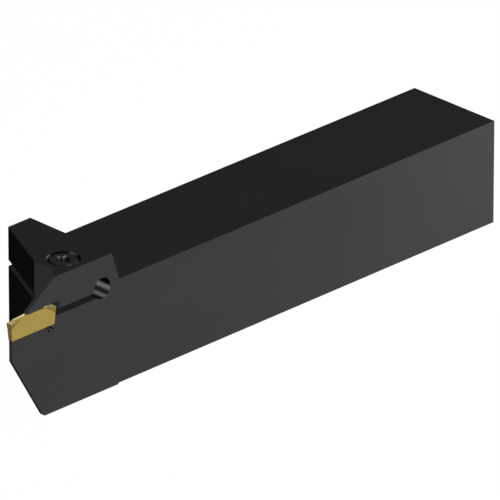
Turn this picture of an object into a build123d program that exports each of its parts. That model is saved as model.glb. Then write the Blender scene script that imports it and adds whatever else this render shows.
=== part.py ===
from build123d import *
from math import radians, tan
import os

# Parting and grooving tool for a lathe, right-hand, millimetres and degrees.
# +X runs forward to the cutting edge, +Y to the side that carries the blade, +Z up.
# The origin is the middle of the shank's flat base.

# Shank
overall_length = 150.0          # rear face to the front cutting edge
shank_width = 25.0
shank_height = 25.0

# Cutting insert, the same at both ends
insert_length = 13.5
edge_rise = 0.2                 # cutting edge above the shank's top
insert_height = 4.1             # seat to cutting edge
cutting_width = 1.5
insert_body_width = 1.2         # between the flared ends
end_clearance = 6.0             # end faces lean in below the cutting edge
side_relief = 3.6               # flare narrows behind the cutting edge
side_taper = 5.5                # flare narrows below the cutting edge
rake_land = 1.35                # nearly flat stretch behind the cutting edge
rake_land_rise = 0.1
shoulder_run = 0.4              # steep stretch behind it, beside the chip trough
shoulder_rise = 0.35            # top of that stretch above the cutting edge
former_length = 5.0             # cutting edge to the clamped land
former_rise = 0.55              # rear end of the shoulders above the edge
former_step = 0.2               # short steep stretch up to the clamped land
clamp_rise = 0.65               # clamped land above the cutting edge
trough_wall = 0.1               # each shoulder beside the chip trough
trough_floor = 0.08             # its floor above the cutting edge

# Rails that keep the insert in line, a ridge on each jaw in a groove of the insert
rail_height = 0.2
rail_margin = 0.15              # flat left beside the ridge on the blade

# Blade
blade_thickness = 1.0
blade_reach = 15.7              # front wall of the head to the cutting edge
root_radius = 2.0               # in the corner between wall and blade
nose_gap = 0.08                 # nose stands this far behind the insert's end face
nose_height = 5.1               # upright front of the nose below the seat
undercut_angle = 30.0           # slope under the nose, from upright
undercut_radius = 1.0
jaw_tip_gap = 0.2               # front of the insert's clamped land back to the upper jaw's tip
jaw_tip_height = 0.55
jaw_slope = 35.6                # top of the upper jaw, from level

# Head
side_offset = 0.47              # blade side of the head stands out from the shank
jaw_rise = 7.2                  # top of the head above the shank
jaw_back_lean = 18.0            # rear slope of the raised jaw, from upright
jaw_foot_radius = 0.6
front_wall_width = 8.9          # square stretch of the front wall, blade side inwards
slant_angle = 26.0              # the rest of the front wall, from square

# Flexing slot and relief hole that let the upper jaw bend
slot_drop = 2.4                 # slot floor below the cutting edge
slot_height = 1.5
relief_hole_radius = 2.5
relief_hole_drop = 0.48         # hole's axis below the cutting edge
hinge_wall = 2.8                # steel behind the hole that the jaw bends on
hole_web = 1.75                 # relief hole to screw hole

# Openings around the insert's rear end
rear_gap = 1.25
relief_rise = 0.3               # roof over the insert's rear end, above the clamped land
relief_run = 0.4                # length of the slope up to that roof
relief_setback = 1.2            # rear of the insert's clamped land back to the slope
relief_corner = 0.9
notch_radius = 1.15             # round notch under the seat's rear end
notch_drop = 0.4
notch_forward = 1.05

# Clamp screw, M4 with a cylindrical head and a six-lobe socket
screw_radius = 2.0
screw_length = 16.0             # under the head
screw_head_radius = 3.5
screw_head_height = 4.0
screw_head_bevel = 0.6
screw_end_bevel = 0.5
socket_radius = 1.97            # over the lobes
socket_waist = 1.41             # between the lobes
socket_flute = 0.92             # radius of the rounded rib between two lobes
socket_depth = 2.2
socket_lobes = 6
pocket_clearance = 0.3          # around the screw's head
pocket_wall = 1.5               # steel around the head's pocket
head_recess = 0.1               # screw's head below the top of the jaw
shaft_clearance = 0.25          # around the shaft in the jaw
thread_clearance = 0.05
drill_extra = 2.0               # tapped hole runs on past the screw's end
drill_angle = 118.0

# Heights
z_edge = shank_height + edge_rise
z_seat = z_edge - insert_height
z_clamp = z_edge + clamp_rise
z_top = shank_height + jaw_rise
z_slot_floor = z_edge - slot_drop
z_slot_roof = z_slot_floor + slot_height
z_nose = z_seat - nose_height
z_head_top = z_top - head_recess
z_pocket = z_head_top - screw_head_height
z_relief_roof = z_clamp + relief_rise
z_screw_end = z_pocket - screw_length
z_drill_end = z_screw_end - drill_extra

# Places across the tool
y_far = -shank_width / 2
y_shank = shank_width / 2
y_side = y_shank + side_offset
y_blade_back = y_side - blade_thickness
y_blade = y_side - blade_thickness / 2
trough_radius = insert_body_width / 2 - trough_wall
pocket_radius = screw_head_radius + pocket_clearance
y_screw = y_side - pocket_wall - pocket_radius

# Places along the tool
shaft_hole_radius = screw_radius + shaft_clearance
hole_from_shoulder = hinge_wall + relief_hole_radius
screw_from_hole = relief_hole_radius + hole_web + shaft_hole_radius
wall_from_screw = pocket_radius + pocket_wall
block_length = hole_from_shoulder + screw_from_hole + wall_from_screw
shank_length = overall_length - blade_reach - block_length
x_rear = -shank_length / 2
x_shoulder = shank_length / 2
x_hole = x_shoulder + hole_from_shoulder
x_screw = x_hole + screw_from_hole
x_wall = x_screw + wall_from_screw
x_edge = x_wall + blade_reach
x_rear_edge = x_edge - insert_length
x_insert_middle = x_edge - insert_length / 2
end_lean = insert_height * tan(radians(end_clearance))
x_nose = x_edge - end_lean - nose_gap
x_seat_end = x_rear_edge + end_lean
x_notch = x_seat_end + notch_forward
x_stop_top = x_rear_edge + slot_drop * tan(radians(end_clearance))
x_relief_wall = x_rear_edge - rear_gap
x_clamp_rear = x_rear_edge + former_length
x_clamp_front = x_edge - former_length
x_jaw_tip = x_clamp_front - jaw_tip_gap
x_relief_foot = x_clamp_rear - relief_setback
reach_past = 1.0                # cutting bodies run on past the faces they open


def side_face(points):
    """A flat face in the plane of X and Z through the corners."""
    corners = [(x, 0, z) for x, z in points]
    return make_face(Polyline(*corners, close=True))


def plan_face(points):
    """A flat face on the base plane through the corners."""
    return make_face(Polyline(*points, close=True))


def round_corner(face, x, y, z, radius):
    """The face with the corner nearest the place rounded."""
    corner = face.vertices().sort_by_distance((x, y, z))[0]
    return fillet(corner, radius)


def across(face, y_from, y_to):
    """A side face made solid from one place across the tool to another."""
    return Pos(0, y_from, 0) * extrude(face, amount=y_to - y_from, dir=(0, 1, 0))


def rail(x_from, x_to, z, height):
    """A ridge of triangular section along the blade, up or down from its foot."""
    half = blade_thickness / 2 - rail_margin
    corners = [(x_from, y_blade - half, z), (x_from, y_blade, z + height), (x_from, y_blade + half, z)]
    section = make_face(Polyline(*corners, close=True))
    return extrude(section, amount=x_to - x_from, dir=(1, 0, 0))


def upright_cylinder(x, y, z_from, z_to, radius):
    height = z_to - z_from
    return Pos(x, y, z_from) * Cylinder(radius, height, align=(Align.CENTER, Align.CENTER, Align.MIN))


# Holder body, one piece of steel

def holder_plan():
    """The outline seen from above: shank, head with its slanted front, and blade."""
    y_slant = y_side - front_wall_width
    x_slant = x_wall - (y_slant - y_far) * tan(radians(slant_angle))
    outline = plan_face([
        (x_rear, y_far),
        (x_slant, y_far),
        (x_wall, y_slant),
        (x_wall, y_blade_back),
        (x_nose, y_blade_back),
        (x_nose, y_side),
        (x_shoulder + side_offset, y_side),
        (x_shoulder, y_shank),
        (x_rear, y_shank),
    ])
    return round_corner(outline, x_wall, y_blade_back, 0, root_radius)


def holder_side():
    """The outline seen from the blade's side: shank, raised jaw and undercut nose."""
    x_undercut = x_nose - z_nose * tan(radians(undercut_angle))
    z_jaw_tip = z_clamp + jaw_tip_height
    x_crown = x_jaw_tip - (z_top - z_jaw_tip) / tan(radians(jaw_slope))
    x_jaw_back = x_shoulder + jaw_rise * tan(radians(jaw_back_lean))
    outline = side_face([
        (x_rear, 0),
        (x_undercut, 0),
        (x_nose, z_nose),
        (x_nose, z_seat),
        (x_jaw_tip, z_seat),
        (x_jaw_tip, z_jaw_tip),
        (x_crown, z_top),
        (x_jaw_back, z_top),
        (x_shoulder, shank_height),
        (x_rear, shank_height),
    ])
    outline = round_corner(outline, x_undercut, 0, 0, undercut_radius)
    return round_corner(outline, x_shoulder, 0, shank_height, jaw_foot_radius)


def mouth():
    """The space between the jaws that holds the insert, open in front and at both sides."""
    outline = side_face([
        (x_edge + reach_past, z_seat),
        (x_seat_end, z_seat),
        (x_stop_top, z_slot_floor),
        (x_relief_wall, z_slot_floor),
        (x_relief_wall, z_relief_roof),
        (x_relief_foot - relief_run, z_relief_roof),
        (x_relief_foot, z_clamp),
        (x_edge + reach_past, z_clamp),
    ])
    outline = round_corner(outline, x_relief_wall, 0, z_relief_roof, relief_corner)
    return across(outline, y_far - reach_past, y_side + reach_past)


def flexing_cuts():
    """The slot across the head and the round hole at its rear end."""
    slot_outline = side_face([
        (x_hole, z_slot_floor),
        (x_stop_top, z_slot_floor),
        (x_stop_top, z_slot_roof),
        (x_hole, z_slot_roof),
    ])
    slot = across(slot_outline, y_far - reach_past, y_side + reach_past)
    span = shank_width + side_offset + 2 * reach_past
    hole = Pos(x_hole, side_offset / 2, z_edge - relief_hole_drop) * Rot(90, 0, 0)
    return slot + hole * Cylinder(relief_hole_radius, span)


def seat_notch():
    """The round notch that opens into the seat near its rear end."""
    place = Pos(x_notch, y_blade, z_seat - notch_drop) * Rot(90, 0, 0)
    return place * Cylinder(notch_radius, blade_thickness + 2 * reach_past)


def screw_hole():
    """The head's pocket, the shaft's hole through the jaw and the tapped hole below."""
    tapped_radius = screw_radius + thread_clearance
    tip_height = tapped_radius / tan(radians(drill_angle / 2))
    pocket = upright_cylinder(x_screw, y_screw, z_pocket, z_top + reach_past, pocket_radius)
    shaft_hole = upright_cylinder(x_screw, y_screw, z_slot_floor, z_pocket, shaft_hole_radius)
    tapped_hole = upright_cylinder(x_screw, y_screw, z_drill_end, z_slot_floor, tapped_radius)
    tip = Pos(x_screw, y_screw, z_drill_end - tip_height) * Cone(
        0, tapped_radius, tip_height, align=(Align.CENTER, Align.CENTER, Align.MIN)
    )
    return pocket + shaft_hole + tapped_hole + tip


def holder_body():
    plan = extrude(holder_plan(), amount=z_top, dir=(0, 0, 1))
    body = plan & across(holder_side(), y_far - reach_past, y_side + reach_past)
    body = body - mouth()
    seat_rail = rail(x_notch, x_nose, z_seat, rail_height)
    jaw_rail = rail(x_clamp_rear, x_jaw_tip, z_clamp, -rail_height)
    return body + seat_rail + jaw_rail - flexing_cuts() - seat_notch() - screw_hole()


# Cutting insert, one piece of coated carbide

def insert_side():
    """The insert's side outline, the same from both ends."""
    front = [
        (x_edge - end_lean, z_seat),
        (x_edge, z_edge),
        (x_edge - rake_land, z_edge + rake_land_rise),
        (x_edge - rake_land - shoulder_run, z_edge + shoulder_rise),
        (x_clamp_front + former_step, z_edge + former_rise),
        (x_clamp_front, z_clamp),
    ]
    rear = [(2 * x_insert_middle - x, z) for x, z in reversed(front)]
    return side_face(front + rear)


def flared_end(outline):
    """The full-width outline cut back by the relief faces behind the front cutting edge."""
    half = cutting_width / 2
    end = across(outline, y_blade - half, y_blade + half)
    for side in (1, -1):
        normal = (-tan(radians(side_relief)), side, -tan(radians(side_taper)))
        relief = Plane(origin=(x_edge, y_blade + side * half, z_edge), z_dir=normal)
        end = split(end, bisect_by=relief, keep=Keep.BOTTOM)
    return end


def chip_trough():
    """The round-ended trough between the shoulders behind the front cutting edge."""
    z_axis = z_edge + trough_floor + trough_radius
    length = former_length - rake_land - trough_radius
    place = Pos(x_edge - rake_land, y_blade, z_axis)
    run = place * Rot(0, -90, 0) * Cylinder(trough_radius, length, align=(Align.CENTER, Align.CENTER, Align.MIN))
    return run + Pos(x_edge - rake_land - length, y_blade, z_axis) * Sphere(trough_radius)


def cutting_insert():
    outline = insert_side()
    half = insert_body_width / 2
    middle = Plane(origin=(x_insert_middle, 0, 0), z_dir=(1, 0, 0))
    front_end = flared_end(outline)
    trough = chip_trough()
    body = across(outline, y_blade - half, y_blade + half) + front_end + mirror(front_end, about=middle)
    seat_groove = rail(x_rear_edge - reach_past, x_edge + reach_past, z_seat, rail_height)
    clamp_groove = rail(x_clamp_rear, x_clamp_front, z_clamp, -rail_height)
    return body - trough - mirror(trough, about=middle) - seat_groove - clamp_groove


# Clamp screw

def socket():
    """The six-lobe drive in the top of the head."""
    flutes = PolarLocations(socket_waist + socket_flute, socket_lobes) * Circle(socket_flute)
    outline = Circle(socket_radius) - flutes
    return Pos(x_screw, y_screw, z_head_top - socket_depth) * extrude(outline, amount=socket_depth + reach_past)


def clamp_screw():
    head = upright_cylinder(x_screw, y_screw, z_pocket, z_head_top, screw_head_radius)
    head = fillet(head.edges().sort_by(Axis.Z)[-1], screw_head_bevel)
    shaft = upright_cylinder(x_screw, y_screw, z_screw_end, z_pocket, screw_radius)
    shaft = chamfer(shaft.edges().sort_by(Axis.Z)[0], screw_end_bevel)
    return head + shaft - socket()


os.makedirs("parts", exist_ok=True)
pieces = {
    "holder_body": holder_body(),
    "cutting_insert": cutting_insert(),
    "clamp_screw": clamp_screw(),
}
for name, piece in pieces.items():
    export_step(piece, f"parts/{name}.step")
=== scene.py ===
from math import cos, pi, radians, sin, sqrt

import bpy
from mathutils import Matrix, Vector


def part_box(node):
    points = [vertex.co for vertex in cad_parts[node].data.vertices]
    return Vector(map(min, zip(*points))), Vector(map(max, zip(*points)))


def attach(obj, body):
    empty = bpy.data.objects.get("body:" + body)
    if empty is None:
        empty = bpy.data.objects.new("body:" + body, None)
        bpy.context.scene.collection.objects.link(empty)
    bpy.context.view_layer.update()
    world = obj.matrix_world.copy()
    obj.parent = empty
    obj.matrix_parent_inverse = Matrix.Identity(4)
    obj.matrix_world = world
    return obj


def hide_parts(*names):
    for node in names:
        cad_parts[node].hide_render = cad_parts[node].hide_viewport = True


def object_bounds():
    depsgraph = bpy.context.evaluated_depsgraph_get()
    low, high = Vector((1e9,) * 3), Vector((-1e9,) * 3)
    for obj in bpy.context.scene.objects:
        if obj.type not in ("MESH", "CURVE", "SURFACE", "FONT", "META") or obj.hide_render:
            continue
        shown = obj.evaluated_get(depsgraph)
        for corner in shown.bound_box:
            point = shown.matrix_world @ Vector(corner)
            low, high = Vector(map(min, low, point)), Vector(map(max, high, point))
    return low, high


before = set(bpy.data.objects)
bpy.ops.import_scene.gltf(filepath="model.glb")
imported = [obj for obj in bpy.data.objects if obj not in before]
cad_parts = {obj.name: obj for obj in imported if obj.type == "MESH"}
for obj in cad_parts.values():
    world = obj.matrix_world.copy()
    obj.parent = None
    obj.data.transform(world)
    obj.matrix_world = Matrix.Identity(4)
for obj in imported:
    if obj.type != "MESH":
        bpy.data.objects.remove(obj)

cad_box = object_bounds()

# Sizes are in metres
MM = 0.001

# Camera, at the photograph's viewing angle
CAMERA_AZIMUTH = radians(135.23)
CAMERA_ELEVATION = radians(25.217)
CAMERA_DISTANCE = 2.6582
CAMERA_TARGET = Vector((0.009284, 0.003448, 0.0126))
CAMERA_LENS = 867.74          # focal length on a sensor 36 wide
CAMERA_SENSOR = 36.0
CLIP_END = 50.0

# Light. A direction points from the object to its lamp, and its length is the lamp's share of the light.
KEY = Vector((0.436, 0.815, 0.255))
FAR_FILL = Vector((-0.15, -0.24, 0.0))
SUN_SPREAD = radians(4)
OVERHEAD = 0.085
OVERHEAD_HEIGHT = 0.5
OVERHEAD_SIZE = 0.5
REAR_FILL_PLACE = Vector((-0.105, 0.10, 0.03))
REAR_FILL_POWER = 0.27
WORLD_GREY = 0.003
WHITE = (1.0, 1.0, 1.0, 1.0)
FLOOR_SIZE = 60.0
FLOOR_COLOUR = (0.15, 0.15, 0.15, 1.0)
FLOOR_GLOW = 0.948

# Clamp screw
THREAD_PITCH = 0.7 * MM
THREAD_DEPTH = 0.38 * MM
THREAD_CREST = 0.13           # share of the pitch that is flat at the crest
THREAD_ROOT = 0.2             # share of the pitch that is flat at the root
THREAD_STEPS = 12             # rings in one pitch
PLAIN_NECK = 3.4 * MM         # unthreaded shaft under the head
END_BEVEL = 0.5 * MM
SHAFT_RADIUS = 2.0 * MM
HEAD_HEIGHT = 4.0 * MM
HEAD_ROUND = 0.6 * MM
HEAD_ROUND_STEPS = 8
FOOT_BEVEL = 0.12 * MM
SOCKET_RADIUS = 1.97 * MM
SOCKET_WAIST = 1.41 * MM
SOCKET_FLUTE = 0.92 * MM
SOCKET_DEPTH = 2.1 * MM
SOCKET_BEVEL = 0.08 * MM
SOCKET_LOBES = 6
SOCKET_CONE = 0.35 * MM       # shallow cone under the socket's floor
SOCKET_CONE_TIP = 0.25 * MM   # radius at its lowest
SCREW_SEGMENTS = 120

# Edges that turn more than this are shaded as sharp
SCREW_SHARP_ANGLE = radians(35)
SOLID_SHARP_ANGLE = radians(20)


# Node helpers

MIX_FIRST = 6                 # colour sockets of a mix
MIX_SECOND = 7
MIX_RESULT = 2
EDGE_SAMPLES = 4


class Graph:
    """A material's nodes, built by name and linked as they are made.

    A noise has a scale, a detail and a roughness, and a bump has a strength and a distance.
    A ramp has a low and a high value and, where they aren't 0 and 1, the results at both.
    """

    def __init__(self, material):
        material.use_nodes = True
        self.tree = material.node_tree
        self.tree.nodes.clear()

    def add(self, kind, inputs=None, **settings):
        node = self.tree.nodes.new(kind)
        for name, value in settings.items():
            setattr(node, name, value)
        for socket, value in (inputs or {}).items():
            self.feed(node.inputs[socket], value)
        return node

    def feed(self, socket, value):
        if isinstance(value, bpy.types.NodeSocket):
            self.tree.links.new(value, socket)
        else:
            socket.default_value = value

    def math(self, operation, first, second=0.0):
        return self.add("ShaderNodeMath", {0: first, 1: second}, operation=operation).outputs[0]

    def ramp(self, value, low, high, to_low=0.0, to_high=1.0, smooth=False):
        kind = "SMOOTHSTEP" if smooth else "LINEAR"
        node = self.add("ShaderNodeMapRange", {
            "Value": value, "From Min": low, "From Max": high, "To Min": to_low, "To Max": to_high,
        }, interpolation_type=kind)
        return node.outputs["Result"]

    def mix(self, share, first, second):
        node = self.add("ShaderNodeMix", data_type="RGBA")
        self.feed(node.inputs["Factor"], share)
        self.feed(node.inputs[MIX_FIRST], first)
        self.feed(node.inputs[MIX_SECOND], second)
        return node.outputs[MIX_RESULT]

    def place(self, stretch=(1.0, 1.0, 1.0)):
        """The point on the object, stretched along each axis."""
        point = self.add("ShaderNodeTexCoord").outputs["Object"]
        return self.add("ShaderNodeMapping", {"Vector": point, "Scale": stretch}).outputs["Vector"]

    def coordinates(self):
        """The point on the object as X, Y and Z."""
        return self.add("ShaderNodeSeparateXYZ", {0: self.place()}).outputs

    def noise(self, point, scale, detail, roughness):
        node = self.add("ShaderNodeTexNoise", {
            "Vector": point, "Scale": scale, "Detail": detail, "Roughness": roughness,
        })
        return node.outputs["Fac"]

    def edges(self, radius):
        """1 on flat faces, and less on the edges within the radius."""
        rounded = self.add("ShaderNodeBevel", {"Radius": radius}, samples=EDGE_SAMPLES)
        true = self.add("ShaderNodeNewGeometry").outputs["Normal"]
        dot = self.add("ShaderNodeVectorMath", {0: rounded.outputs[0], 1: true}, operation="DOT_PRODUCT")
        return dot.outputs["Value"]

    def bump(self, height, strength, distance):
        node = self.add("ShaderNodeBump", {"Height": height, "Strength": strength, "Distance": distance})
        return node.outputs["Normal"]

    def finish(self, inputs):
        shader = self.add("ShaderNodeBsdfPrincipled", inputs)
        self.add("ShaderNodeOutputMaterial", {"Surface": shader.outputs[0]})


# Masks and bands that the materials share

HOLE_MARGIN = 0.04 * MM
CLOUD_RAMP = (0.35, 0.65)


def normal_share(g, axis, low, high):
    """How far the surface faces along an axis, as 0 at low and 1 at high."""
    normal = g.add("ShaderNodeNewGeometry").outputs["True Normal"]
    along = g.add("ShaderNodeSeparateXYZ", {0: normal}).outputs[axis]
    return g.ramp(g.math("ABSOLUTE", along), low, high)


def round_axis(g, first, second, centre):
    """Distance from an axis and angle round it, measured from the far side, for the point on the object."""
    point = g.coordinates()
    side = g.math("SUBTRACT", centre[0], point[first])
    rise = g.math("SUBTRACT", centre[1], point[second])
    squares = g.math("ADD", g.math("MULTIPLY", side, side), g.math("MULTIPLY", rise, rise))
    return g.math("SQRT", squares), g.math("ARCTAN2", rise, side)


def within(g, distance, radius):
    """1 up to the radius, and 0 just past it."""
    return g.ramp(distance, radius + HOLE_MARGIN, radius + 2 * HOLE_MARGIN, 1.0, 0.0)


def bands(g, angle, places):
    """Soft bands, each with its angle, half width and strength."""
    shine = 0.0
    for place, width, strength in places:
        off_band = g.math("ABSOLUTE", g.math("SUBTRACT", angle, place))
        shine = g.math("MAXIMUM", shine, g.ramp(off_band, 0.0, width, strength, 0.0, smooth=True))
    return shine


def fade_down(g, top, fade):
    """1 down to the fade's first depth, and its last share from the second depth on."""
    start, end, share = fade
    height = g.coordinates()["Z"]
    return g.ramp(height, top - end, top - start, share, 1.0)


# Oxidised steel of the holder

GRIND_STRETCH = (60.0, 1500.0, 1500.0)
GRIND_NOISE = (1.0, 3.0, 0.6)
STEEL_CLOUD_NOISE = (55.0, 5.0, 0.55)
STEEL_GRAIN_NOISE = (5200.0, 2.0, 0.6)
STEEL_DARK = (0.0475, 0.0475, 0.0485, 1.0)
STEEL_LIGHT = (0.0495, 0.0495, 0.0505, 1.0)
STEEL_LINES = (0.055, 0.055, 0.056, 1.0)
STEEL_LINE_RAMP = (0.55, 0.75, 0.0, 0.4)
STEEL_WORN = (0.09, 0.09, 0.092, 1.0)
STEEL_WEAR_WIDTH = 0.06 * MM
STEEL_WEAR_RAMP = (0.95, 0.8, 0.0, 0.15)
STEEL_ROUGHNESS_RAMP = (0.3, 0.7, 0.5, 0.62)
GRIND_RELIEF = 0.6            # shares of the lines and of the grain in the relief
GRAIN_RELIEF = 0.4
STEEL_BUMP = (0.2, 0.01 * MM)

# Round holes across the holder, with painted reflection bands and painted shade on their walls: place along
# the tool and height of the axis, radius, and share of the painted reflection bands
RELIEF_HOLE = (63.9 * MM, 24.72 * MM, 2.5 * MM, 1.0)
SEAT_NOTCH = (79.38 * MM, 20.7 * MM, 1.15 * MM, 0.55)
# Painted reflection bands on the bores' lower walls, and painted shade on their roofs
BORE_REFLECTION_BANDS = ((radians(17), radians(21), 1.05), (radians(67), radians(19.5), 0.95))
BORE_LOWER_RAMP = (radians(-10), radians(15))
BORE_ROOF_PAINTED_SHADE = (0.002, 0.002, 0.002, 1.0)
BORE_WALL_PAINTED_SHADE = (0.022, 0.022, 0.023, 1.0)
BORE_PAINTED_REFLECTION = (0.27, 0.27, 0.275, 1.0)
HOLE_WALL_RAMP = (0.5, 0.2)

# Pocket of the clamp screw's head, with painted glints in bands on its wall and painted shade deeper down
POCKET_RADIUS = 3.83 * MM
POCKET_GLINT_BANDS = ((radians(115), radians(30), 0.8), (radians(9), radians(27), 0.45))
POCKET_SHADE_FADE = (0.15 * MM, 0.85 * MM, 0.14)
POCKET_PAINTED_SHADE = (0.003, 0.003, 0.003, 1.0)
POCKET_PAINTED_GLINT = (0.21, 0.21, 0.212, 1.0)


def paint_bore_light_and_shade(g, tone, hole):
    """The tone, with painted shade on the upper wall of a hole across the holder and painted reflection
    bands on the wall below.
    """
    x, z, radius, share = hole
    distance, angle = round_axis(g, "X", "Z", (x, z))
    shine = g.math("MULTIPLY", bands(g, angle, BORE_REFLECTION_BANDS), share)
    shade = g.mix(g.ramp(angle, *BORE_LOWER_RAMP), BORE_ROOF_PAINTED_SHADE, BORE_WALL_PAINTED_SHADE)
    painted_bore_light = g.mix(shine, shade, BORE_PAINTED_REFLECTION)
    wall = g.math("MULTIPLY", within(g, distance, radius), normal_share(g, "Y", *HOLE_WALL_RAMP))
    return g.mix(wall, tone, painted_bore_light)


def oxidised_steel(screw_centre, pocket_top):
    """Ground steel under a black oxide: near black, matt, with fine lines along the tool, painted reflection
    bands and painted shade on the bores' walls, and painted glints and painted shade on the screw pocket's
    wall.
    """
    material = bpy.data.materials.new("oxidised_steel")
    g = Graph(material)
    grind = g.noise(g.place(GRIND_STRETCH), *GRIND_NOISE)
    cloud = g.noise(g.place(), *STEEL_CLOUD_NOISE)
    grain = g.noise(g.place(), *STEEL_GRAIN_NOISE)
    tone = g.mix(g.ramp(cloud, *CLOUD_RAMP), STEEL_DARK, STEEL_LIGHT)
    tone = g.mix(g.ramp(grind, *STEEL_LINE_RAMP), tone, STEEL_LINES)
    wear = g.ramp(g.edges(STEEL_WEAR_WIDTH), *STEEL_WEAR_RAMP)
    tone = g.mix(wear, tone, STEEL_WORN)
    for hole in (RELIEF_HOLE, SEAT_NOTCH):
        tone = paint_bore_light_and_shade(g, tone, hole)
    distance, angle = round_axis(g, "X", "Y", screw_centre)
    # Painted glints in bands on the pocket's wall, fading into painted shade deeper down
    shine = g.math("MULTIPLY", bands(g, angle, POCKET_GLINT_BANDS), fade_down(g, pocket_top, POCKET_SHADE_FADE))
    pocket_light_and_shade = g.mix(shine, POCKET_PAINTED_SHADE, POCKET_PAINTED_GLINT)
    upright = normal_share(g, "Z", *HOLE_WALL_RAMP)
    tone = g.mix(g.math("MULTIPLY", within(g, distance, POCKET_RADIUS), upright), tone, pocket_light_and_shade)
    lines = g.math("MULTIPLY", grind, GRIND_RELIEF)
    height = g.math("ADD", lines, g.math("MULTIPLY", grain, GRAIN_RELIEF))
    g.finish({
        "Base Color": tone,
        "Roughness": g.ramp(grind, *STEEL_ROUGHNESS_RAMP),
        "Specular IOR Level": 0.0,
        "Normal": g.bump(height, *STEEL_BUMP),
    })
    return material


# Gold-coloured coating of the insert. Near and far are as seen from the camera.

GOLD_GRAIN_NOISE = (9000.0, 2.0, 0.6)
GOLD_CLOUD_NOISE = (420.0, 3.0, 0.5)
GOLD_DARK = (0.374, 0.271, 0.0585, 1.0)
GOLD_LIGHT = (0.396, 0.287, 0.063, 1.0)
GOLD_METALLIC = 0.1
GOLD_SPECULAR_RAMP = (0.0, 1.0, 0.2, 0.1)
GOLD_ROUGHNESS_RAMP = (0.3, 0.7, 0.3, 0.4)
GOLD_BUMP = (0.15, 0.01 * MM)

# Sides, the flanks that lean away from them, given a painted shade, and the end faces, given a painted shade
# that darkens towards the near side
SIDE_RAMP = (0.97, 0.98)
LEANING_RAMP = (0.9997, 0.9985)
FLANK_PAINTED_SHADE = (0.222, 0.157, 0.026, 1.0)
END_RAMP = (0.85, 0.95)
END_SHADE_RAMP = (0.0, 0.5 * MM)
END_FAR_PAINTED_SHADE = (0.25, 0.188, 0.034, 1.0)
END_NEAR_PAINTED_SHADE = (0.155, 0.098, 0.003, 1.0)
GOLD_WORN = (0.355, 0.285, 0.125, 1.0)
GOLD_WEAR_WIDTH = 0.1 * MM
GOLD_WEAR_RAMP = (0.97, 0.8, 0.0, 0.5)

# Chip troughs between the lands behind the cutting edges, painted lighter towards their far walls as a
# painted highlight, and the level faces beside them, given a painted highlight that is strongest at the
# rear, where the jaw shades it
TROUGH_HALF_WIDTH = 0.51 * MM
LANDS_HALF_DISTANCE = 5.4 * MM
EDGE_HEIGHT = 25.2 * MM
TROUGH_HIGHLIGHT_RAMP = (-0.34 * MM, -0.46 * MM)
TROUGH_PAINTED_TONE = (0.48, 0.355, 0.095, 1.0)
TROUGH_FAR_PAINTED_HIGHLIGHT = (0.8, 0.68, 0.33, 1.0)
LEVEL_RAMP = (0.7, 0.9)
FRONT_LEVEL_PAINTED_LIGHT = (0.85, 0.65, 0.22, 1.0)
REAR_LEVEL_PAINTED_LIGHT = (1.0, 0.84, 0.38, 1.0)


def in_trough(g, along, across, height):
    """1 in both chip troughs, and 0 elsewhere."""
    inside = g.math("LESS_THAN", g.math("ABSOLUTE", across), TROUGH_HALF_WIDTH)
    between = g.math("LESS_THAN", g.math("ABSOLUTE", along), LANDS_HALF_DISTANCE)
    above = g.math("GREATER_THAN", height, EDGE_HEIGHT)
    return g.math("MULTIPLY", g.math("MULTIPLY", inside, between), above)


def gold_coating(middle):
    """Gold-coloured nitride on carbide, satin, with painted light and shade: a painted highlight on the
    level faces and on the troughs' far walls, and painted shade on the leaning flanks and the end faces.
    """
    material = bpy.data.materials.new("coated_carbide")
    g = Graph(material)
    point = g.coordinates()
    along = g.math("SUBTRACT", point["X"], middle.x)
    across = g.math("SUBTRACT", point["Y"], middle.y)
    grain = g.noise(g.place(), *GOLD_GRAIN_NOISE)
    cloud = g.noise(g.place(), *GOLD_CLOUD_NOISE)
    side = normal_share(g, "Y", *SIDE_RAMP)
    tone = g.mix(g.ramp(cloud, *CLOUD_RAMP), GOLD_DARK, GOLD_LIGHT)
    # Painted shade on the leaning flanks
    flank = g.math("MULTIPLY", normal_share(g, "Y", *LEANING_RAMP), side)
    tone = g.mix(flank, tone, FLANK_PAINTED_SHADE)
    end = normal_share(g, "X", *END_RAMP)
    # Painted shade on the end faces, darker towards the near side
    end_shade = g.mix(g.ramp(across, *END_SHADE_RAMP), END_FAR_PAINTED_SHADE, END_NEAR_PAINTED_SHADE)
    tone = g.mix(end, tone, end_shade)
    trough = in_trough(g, along, across, point["Z"])
    # Painted highlight on the troughs' far walls
    trough_light_and_shade = g.mix(g.ramp(across, *TROUGH_HIGHLIGHT_RAMP), TROUGH_PAINTED_TONE, TROUGH_FAR_PAINTED_HIGHLIGHT)
    tone = g.mix(trough, tone, trough_light_and_shade)
    # Painted highlight on the level faces, stronger at the rear to make up for the jaw's shade
    level = g.math("MULTIPLY", normal_share(g, "Z", *LEVEL_RAMP), g.math("SUBTRACT", 1.0, trough))
    level_painted_light = g.mix(g.math("LESS_THAN", along, 0.0), FRONT_LEVEL_PAINTED_LIGHT, REAR_LEVEL_PAINTED_LIGHT)
    tone = g.mix(level, tone, level_painted_light)
    wear = g.math("MULTIPLY", g.ramp(g.edges(GOLD_WEAR_WIDTH), *GOLD_WEAR_RAMP), side)
    tone = g.mix(wear, tone, GOLD_WORN)
    g.finish({
        "Base Color": tone,
        "Metallic": GOLD_METALLIC,
        "Specular IOR Level": g.ramp(end, *GOLD_SPECULAR_RAMP),
        "Roughness": g.ramp(grain, *GOLD_ROUGHNESS_RAMP),
        "Normal": g.bump(grain, *GOLD_BUMP),
    })
    return material


# Steel of the clamp screw

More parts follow.
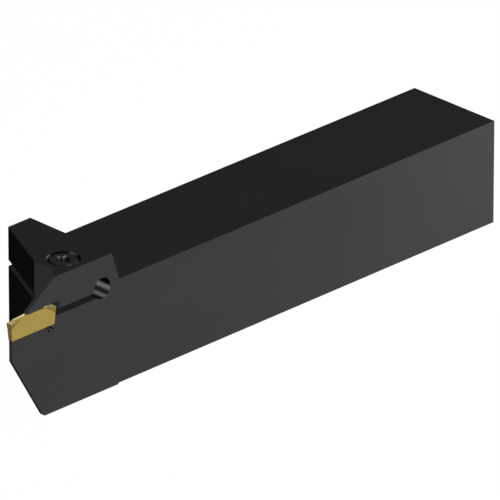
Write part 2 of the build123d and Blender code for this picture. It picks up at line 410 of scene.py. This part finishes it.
SCREW_CLOUD_NOISE = (900.0, 4.0, 0.55)
SCREW_GRAIN_NOISE = (7000.0, 2.0, 0.5)
SCREW_DARK = (0.050, 0.050, 0.052, 1.0)
SCREW_LIGHT = (0.061, 0.061, 0.063, 1.0)
SCREW_ROUGHNESS_RAMP = (0.3, 0.7, 0.2, 0.3)
SCREW_BUMP = (0.12, 0.006 * MM)
# Painted glints and painted shade on the head's rounded edge, in bands round the axis
HEAD_GLINT_BANDS = ((radians(-110), radians(24), 1.0), (radians(-68), radians(28), 0.45))
HEAD_EDGE_RAMP = (0.995, 0.96)
HEAD_EDGE_PAINTED_SHADE = (0.012, 0.012, 0.012, 1.0)
HEAD_EDGE_PAINTED_GLINT = (0.085, 0.085, 0.086, 1.0)
# Painted shade inside the socket, with painted highlight streaks on its far wall
SOCKET_PAINTED_SHADE = (0.007, 0.007, 0.007, 1.0)
SOCKET_PAINTED_HIGHLIGHT = (0.19, 0.19, 0.192, 1.0)
SOCKET_WALL_RAMP = (0.6, 0.3)
# The socket's floor takes the socket's painted shade between these shares of its depth
SOCKET_FLOOR_SHADE_FROM = 0.5       # shares of the socket's depth where its floor's tone begins and is full
SOCKET_FLOOR_SHADE_FULL = 0.9

# Painted highlight streaks on the socket's far wall, fading into painted shade with depth: places of the
# left and the right edge, each deep down and at the top, the width over which the left and the right edge
# fade, the strength, and the fade with depth
STREAK_NARROWING = (0.1 * MM, 0.8 * MM, 0.0)
SOCKET_HIGHLIGHT_STREAKS = (
    (-1.1 * MM, -1.6 * MM, -0.68 * MM, -0.68 * MM, 0.75 * MM, 0.06 * MM, 1.0, (0.3 * MM, 1.1 * MM, 0.22)),
    (-0.35 * MM, -0.35 * MM, 0.36 * MM, 0.95 * MM, 0.35 * MM, 0.15 * MM, 1.05, (0.08 * MM, 0.75 * MM, 0.13)),
)


def painted_socket_streaks(g, across, head_top):
    """Painted highlight streaks down the socket's far wall, each widest at the top."""
    shine = 0.0
    for left_low, left_top, right_low, right_top, soft_left, soft_right, strength, fade in SOCKET_HIGHLIGHT_STREAKS:
        height = fade_down(g, head_top, STREAK_NARROWING)
        left = g.ramp(height, 0.0, 1.0, left_low, left_top)
        right = g.ramp(height, 0.0, 1.0, right_low, right_top)
        from_left = g.ramp(g.math("SUBTRACT", across, left), 0.0, soft_left, 0.0, strength)
        from_right = g.ramp(g.math("SUBTRACT", right, across), 0.0, soft_right)
        streak = g.math("MULTIPLY", g.math("MULTIPLY", from_left, from_right), fade_down(g, head_top, fade))
        shine = g.math("MAXIMUM", shine, streak)
    return shine


def screw_steel(centre, head_top):
    """Blackened screw steel, with painted glints and painted shade in bands on the head's edge, and painted
    highlight streaks over painted shade in the socket.
    """
    material = bpy.data.materials.new("screw_steel")
    g = Graph(material)
    point = g.coordinates()
    cloud = g.noise(g.place(), *SCREW_CLOUD_NOISE)
    grain = g.noise(g.place(), *SCREW_GRAIN_NOISE)
    tone = g.mix(g.ramp(cloud, *CLOUD_RAMP), SCREW_DARK, SCREW_LIGHT)
    distance, angle = round_axis(g, "X", "Y", centre)
    head_foot = head_top - HEAD_HEIGHT
    head = g.ramp(point["Z"], head_foot, head_foot + HOLE_MARGIN)
    socket = g.math("MULTIPLY", within(g, distance, SOCKET_RADIUS), head)
    edge = g.math("MULTIPLY", normal_share(g, "Z", *HEAD_EDGE_RAMP), g.math("SUBTRACT", head, socket))
    edge_light_and_shade = g.mix(bands(g, angle, HEAD_GLINT_BANDS), HEAD_EDGE_PAINTED_SHADE, HEAD_EDGE_PAINTED_GLINT)
    tone = g.mix(edge, tone, edge_light_and_shade)
    from_x = g.math("SUBTRACT", point["X"], centre.x)
    from_y = g.math("SUBTRACT", point["Y"], centre.y)
    across = g.math("MULTIPLY", g.math("SUBTRACT", from_y, from_x), sqrt(0.5))
    socket_light_and_shade = g.mix(painted_socket_streaks(g, across, head_top), SOCKET_PAINTED_SHADE, SOCKET_PAINTED_HIGHLIGHT)
    floor_full = head_top - SOCKET_DEPTH * SOCKET_FLOOR_SHADE_FULL
    floor_from = head_top - SOCKET_DEPTH * SOCKET_FLOOR_SHADE_FROM
    deep = g.ramp(point["Z"], floor_full, floor_from, 1.0, 0.0)
    inner = g.math("MULTIPLY", socket, g.math("MAXIMUM", normal_share(g, "Z", *SOCKET_WALL_RAMP), deep))
    tone = g.mix(inner, tone, socket_light_and_shade)
    g.finish({
        "Base Color": tone,
        "Roughness": g.ramp(cloud, *SCREW_ROUGHNESS_RAMP),
        "Specular IOR Level": 0.0,
        "Normal": g.bump(grain, *SCREW_BUMP),
    })
    return material


# Shape of the clamp screw

def socket_radius(angle):
    """Distance from the axis to the six-lobe outline in a direction."""
    sector = 2 * pi / SOCKET_LOBES
    off_flute = (angle + sector / 2) % sector - sector / 2
    centre = SOCKET_WAIST + SOCKET_FLUTE
    under_root = SOCKET_FLUTE ** 2 - (centre * sin(off_flute)) ** 2
    if under_root <= 0:
        return SOCKET_RADIUS
    return min(SOCKET_RADIUS, centre * cos(off_flute) - sqrt(under_root))


def thread_radius(angle, z, z_low, z_high):
    """Distance from the axis to the thread's surface, run out at the neck and bevelled at the end."""
    phase = (z / THREAD_PITCH - angle / (2 * pi)) % 1.0
    from_crest = abs(phase - 0.5) * 2
    flank = (from_crest - THREAD_CREST) / (1 - THREAD_CREST - THREAD_ROOT)
    depth = THREAD_DEPTH * min(max(flank, 0.0), 1.0)
    run_out = min(max((z_high - z) / THREAD_PITCH, 0.0), 1.0)
    crest = min(SHAFT_RADIUS, SHAFT_RADIUS - END_BEVEL + max(z - z_low, 0.0))
    return min(SHAFT_RADIUS - depth * run_out, crest)


def screw_rings(z_low, z_high, head_radius):
    """Heights and radii from the socket's floor over the head and down to the shaft's end."""
    z_seat = z_high - HEAD_HEIGHT
    z_thread = z_seat - PLAIN_NECK
    z_floor = z_high - SOCKET_DEPTH
    rings = [
        (z_floor - SOCKET_CONE, lambda a: SOCKET_CONE_TIP),
        (z_floor, socket_radius),
        (z_high - SOCKET_BEVEL, socket_radius),
        (z_high, lambda a: socket_radius(a) + SOCKET_BEVEL),
    ]
    for step in range(HEAD_ROUND_STEPS + 1):
        turn = pi / 2 * step / HEAD_ROUND_STEPS
        radius = head_radius - HEAD_ROUND * (1 - sin(turn))
        rings.append((z_high - HEAD_ROUND * (1 - cos(turn)), lambda a, r=radius: r))
    rings.append((z_seat + FOOT_BEVEL, lambda a: head_radius))
    rings.append((z_seat, lambda a: head_radius - FOOT_BEVEL))
    rings.append((z_seat, lambda a: SHAFT_RADIUS))
    steps = round((z_thread - z_low) / THREAD_PITCH * THREAD_STEPS)
    for step in range(steps + 1):
        z = z_thread + (z_low - z_thread) * step / steps
        rings.append((z, lambda a, z=z: thread_radius(a, z, z_low, z_thread)))
    return rings


def ring_mesh(name, rings, segments, centre):
    """A closed surface through rings round an upright axis."""
    points = []
    for z, radius in rings:
        for i in range(segments):
            angle = 2 * pi * i / segments
            r = radius(angle)
            points.append((centre.x + r * cos(angle), centre.y + r * sin(angle), z))
    faces = []
    for k in range(len(rings) - 1):
        this = k * segments
        following = this + segments
        for i in range(segments):
            j = (i + 1) % segments
            faces.append((this + j, this + i, following + i, following + j))
    last = (len(rings) - 1) * segments
    faces.append(tuple(range(segments)))
    faces.append(tuple(last + i for i in reversed(range(segments))))
    mesh = bpy.data.meshes.new(name)
    mesh.from_pydata(points, [], faces)
    mesh.validate()
    piece = bpy.data.objects.new(name, mesh)
    bpy.context.scene.collection.objects.link(piece)
    return piece


def smooth_below(piece, angle):
    """Smooth shading across edges that turn less than the angle."""
    piece.data.shade_smooth()
    piece.data.set_sharp_from_angle(angle=angle)


def threaded_screw():
    """The clamp screw with its thread, in place of the plain one."""
    low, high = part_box("clamp_screw")
    centre = (low + high) / 2
    rings = screw_rings(low.z, high.z, (high.x - low.x) / 2)
    piece = ring_mesh("threaded_screw", rings, SCREW_SEGMENTS, centre)
    smooth_below(piece, SCREW_SHARP_ANGLE)
    piece.data.materials.append(screw_steel(centre, high.z))
    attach(piece, "root")
    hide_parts("clamp_screw")


def dress(node, material):
    """Gives a carried-over piece its material."""
    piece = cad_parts[node]
    piece.data.materials.clear()
    piece.data.materials.append(material)
    smooth_below(piece, SOLID_SHARP_ANGLE)


# Floor, light and camera

def seen_directly(g):
    """1 for rays from the camera, from mirrors and through glass."""
    path = g.add("ShaderNodeLightPath").outputs
    direct = g.math("MAXIMUM", path["Is Camera Ray"], path["Is Glossy Ray"])
    return g.math("MAXIMUM", direct, path["Is Transmission Ray"])


def make_floor():
    """A white floor under the tool that takes a faint shadow and throws little light back."""
    half = FLOOR_SIZE / 2
    z = cad_box[0].z
    corners = [(-half, -half, z), (half, -half, z), (half, half, z), (-half, half, z)]
    mesh = bpy.data.meshes.new("floor")
    mesh.from_pydata(corners, [], [tuple(range(len(corners)))])
    floor = bpy.data.objects.new("floor", mesh)
    bpy.context.scene.collection.objects.link(floor)
    material = bpy.data.materials.new("floor")
    g = Graph(material)
    glow = g.math("MULTIPLY", seen_directly(g), FLOOR_GLOW)
    g.finish({
        "Base Color": FLOOR_COLOUR,
        "Roughness": 1.0,
        "Specular IOR Level": 0.0,
        "Emission Color": WHITE,
        "Emission Strength": glow,
    })
    mesh.materials.append(material)


def make_world():
    """White all round where it is seen, and nearly dark as a light."""
    world = bpy.data.worlds.new("studio")
    bpy.context.scene.world = world
    g = Graph(world)
    strength = g.math("MAXIMUM", seen_directly(g), WORLD_GREY)
    back = g.add("ShaderNodeBackground", {"Color": WHITE, "Strength": strength})
    g.add("ShaderNodeOutputWorld", {"Surface": back.outputs[0]})


def add_lamp(name, kind, energy, place, **settings):
    """A lamp at a place, turned to the middle of the object."""
    lamp = bpy.data.lights.new(name, kind)
    lamp.energy = energy
    for setting, value in settings.items():
        setattr(lamp, setting, value)
    piece = bpy.data.objects.new(name, lamp)
    bpy.context.scene.collection.objects.link(piece)
    piece.location = place
    piece.rotation_mode = "QUATERNION"
    piece.rotation_quaternion = (CAMERA_TARGET - place).to_track_quat("-Z", "Y")


def make_lamps():
    """A key on the blade's side, a fill on the other side, a soft disk overhead and a lamp by the rear."""
    for name, light in (("key", KEY), ("far_fill", FAR_FILL)):
        add_lamp(name, "SUN", pi * light.length, CAMERA_TARGET + light, angle=SUN_SPREAD, use_shadow=False)
    above = CAMERA_TARGET + Vector((0, 0, OVERHEAD_HEIGHT))
    power = OVERHEAD * pi ** 2 * OVERHEAD_HEIGHT ** 2
    add_lamp("overhead", "AREA", power, above, shape="DISK", size=OVERHEAD_SIZE)
    add_lamp("rear_fill", "POINT", REAR_FILL_POWER, REAR_FILL_PLACE, use_shadow=False)


def make_camera():
    """The camera that sees the tool as the photograph does."""
    data = bpy.data.cameras.new("camera")
    data.sensor_width = CAMERA_SENSOR
    data.lens = CAMERA_LENS
    data.clip_end = CLIP_END
    camera = bpy.data.objects.new("camera", data)
    bpy.context.scene.collection.objects.link(camera)
    back = Vector((
        sin(CAMERA_AZIMUTH) * cos(CAMERA_ELEVATION),
        -cos(CAMERA_AZIMUTH) * cos(CAMERA_ELEVATION),
        sin(CAMERA_ELEVATION),
    ))
    camera.location = CAMERA_TARGET + back * CAMERA_DISTANCE
    camera.rotation_mode = "QUATERNION"
    camera.rotation_quaternion = (-back).to_track_quat("-Z", "Y")
    bpy.context.scene.camera = camera


screw_low, screw_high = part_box("clamp_screw")
dress("holder_body", oxidised_steel((screw_low + screw_high) / 2, cad_box[1].z))
insert_low, insert_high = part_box("cutting_insert")
dress("cutting_insert", gold_coating((insert_low + insert_high) / 2))
threaded_screw()
make_floor()
make_world()
make_lamps()
make_camera()
bpy.context.scene.view_settings.view_transform = "Standard"
